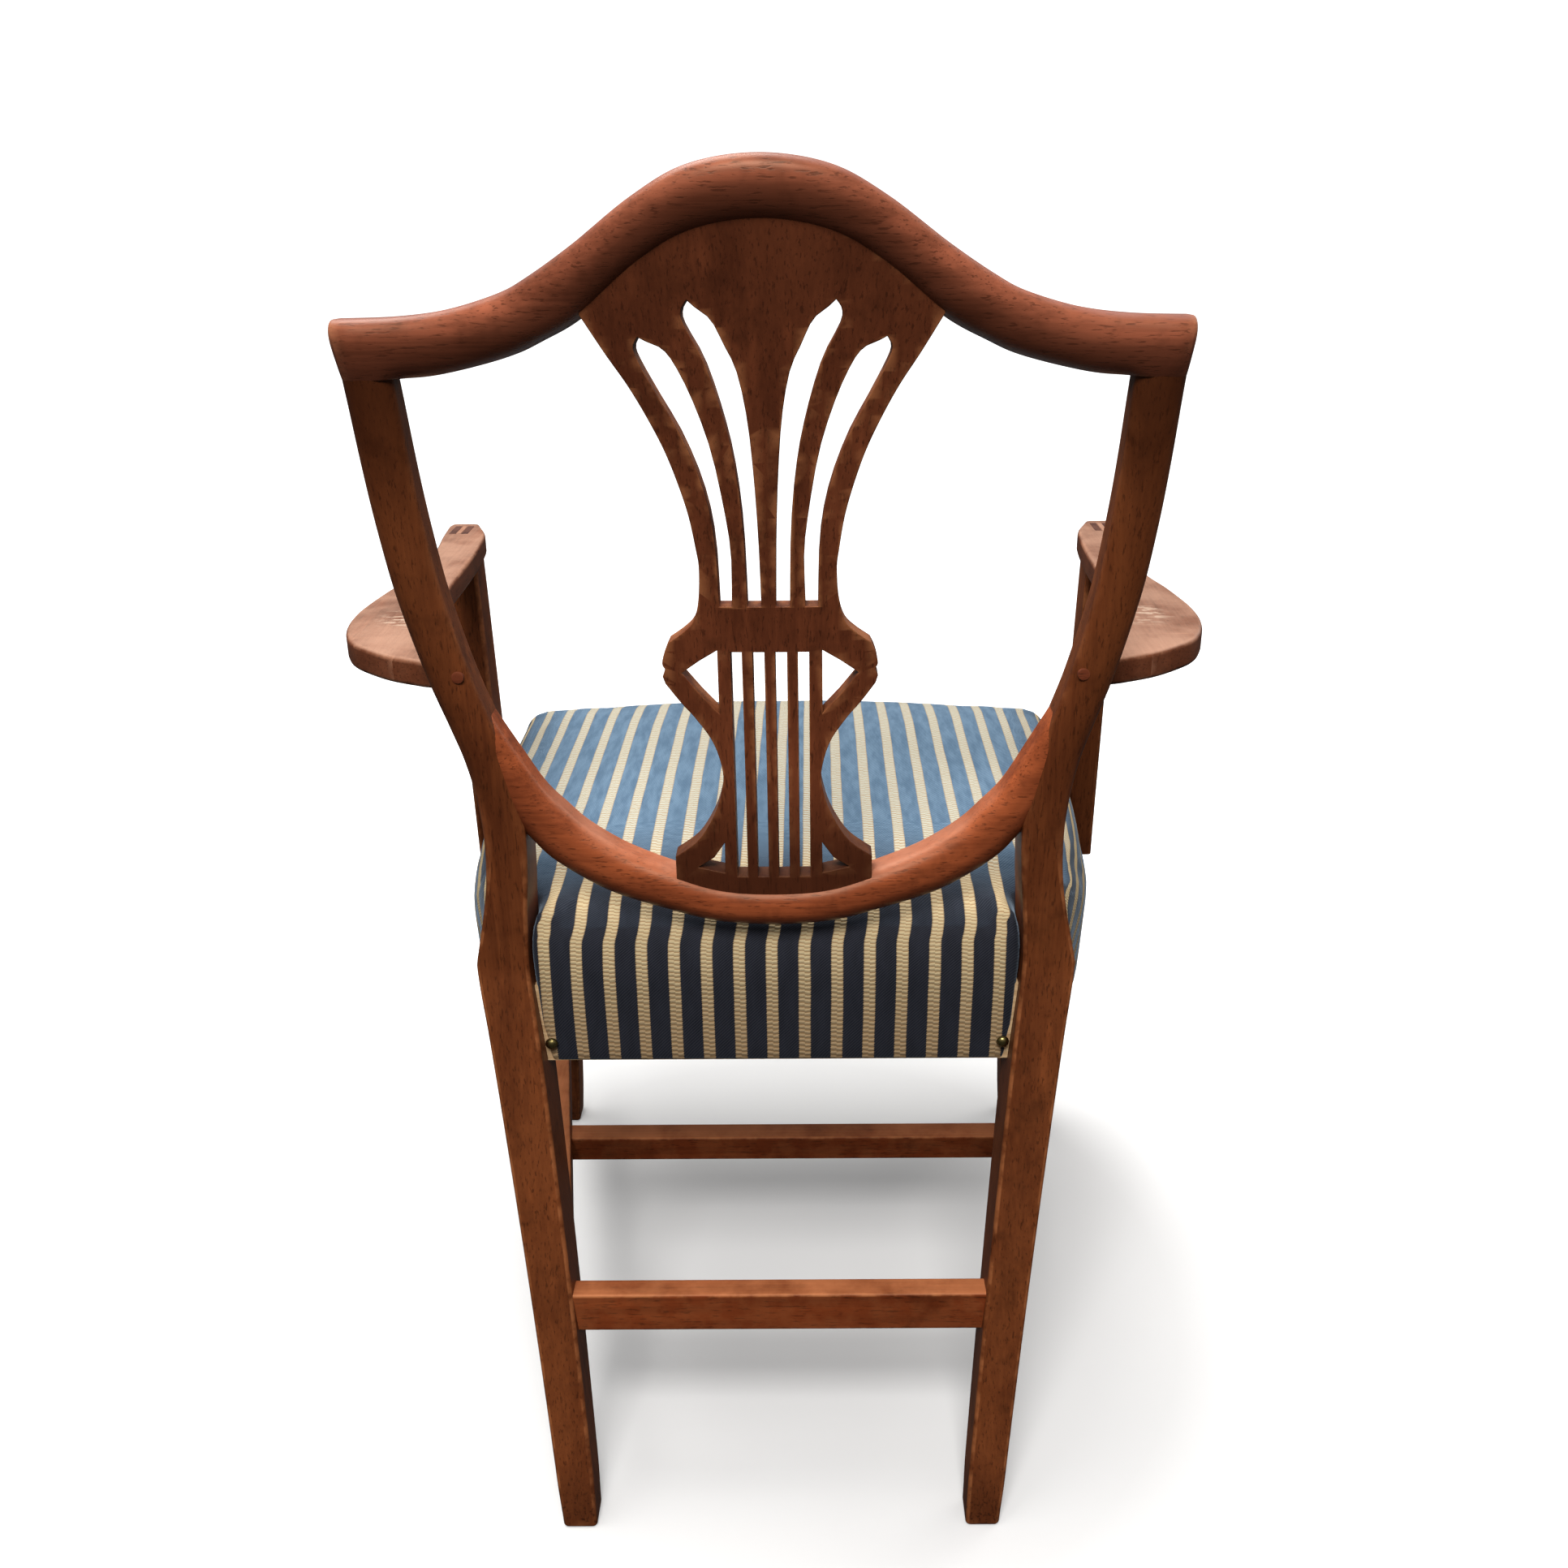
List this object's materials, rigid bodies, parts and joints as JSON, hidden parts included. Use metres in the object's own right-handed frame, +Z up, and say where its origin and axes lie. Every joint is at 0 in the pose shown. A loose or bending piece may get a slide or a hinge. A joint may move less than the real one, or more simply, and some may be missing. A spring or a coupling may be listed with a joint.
{
  "type": "shield back armchair",
  "caption": "Wooden armchair with a shield-shaped back, pierced splat, shaped arms, tapered legs with stretchers and a striped over-upholstered seat.",
  "frame": {"origin": "centre of the bounding box, on the floor", "axes": "+Z up, +Y towards the back of the chair (the sitter faces -Y), +X to the left of the picture, which is taken from behind"},
  "size_m": [0.618, 0.5648, 0.96],
  "materials": {
    "mahogany": "waxed, satin",
    "dark_mahogany": "waxed, satin",
    "worn_mahogany": "worn, dull",
    "beech": "bare",
    "striped_fabric": "woven stripes",
    "jute": "coarse weave",
    "wadding": "soft",
    "black_cloth": "matt",
    "steel": "plain",
    "brass": "dulled"
  },
  "bodies": {
    "root": {"rear_leg_left": "mahogany", "front_leg_left": "mahogany", "side_seat_rail_left": "beech", "side_stretcher_left": "mahogany", "arm_left": "worn_mahogany", "arm_post_left": "mahogany", "post_tenon_wedge_left": "worn_mahogany", "arm_screw_left": "steel", "arm_screw_plug_left": "dark_mahogany", "cover_nail_left": "brass", "post_screw_left_1": "steel", "post_screw_left_2": "steel", "corner_block_front_left": "beech", "block_screw_front_left_1": "steel", "block_screw_front_left_2": "steel", "corner_block_rear_left": "beech", "block_screw_rear_left_1": "steel", "block_screw_rear_left_2": "steel", "rear_leg_right": "mahogany", "front_leg_right": "mahogany", "side_seat_rail_right": "beech", "side_stretcher_right": "mahogany", "arm_right": "worn_mahogany", "arm_post_right": "mahogany", "post_tenon_wedge_right": "worn_mahogany", "arm_screw_right": "steel", "arm_screw_plug_right": "dark_mahogany", "cover_nail_right": "brass", "post_screw_right_1": "steel", "post_screw_right_2": "steel", "corner_block_front_right": "beech", "block_screw_front_right_1": "steel", "block_screw_front_right_2": "steel", "corner_block_rear_right": "beech", "block_screw_rear_right_1": "steel", "block_screw_rear_right_2": "steel", "crest_rail": "mahogany", "lower_shield_rail": "mahogany", "splat": "dark_mahogany", "front_seat_rail": "beech", "rear_seat_rail": "beech", "rear_stretcher": "mahogany", "medial_stretcher": "mahogany", "webbing_long_1": "jute", "webbing_cross_1": "jute", "webbing_long_2": "jute", "webbing_cross_2": "jute", "webbing_long_3": "jute", "webbing_cross_3": "jute", "base_cloth": "jute", "stuffing_pad": "wadding", "seat_cover": "striped_fabric", "dust_cloth": "black_cloth"}
  },
  "joints": []
}
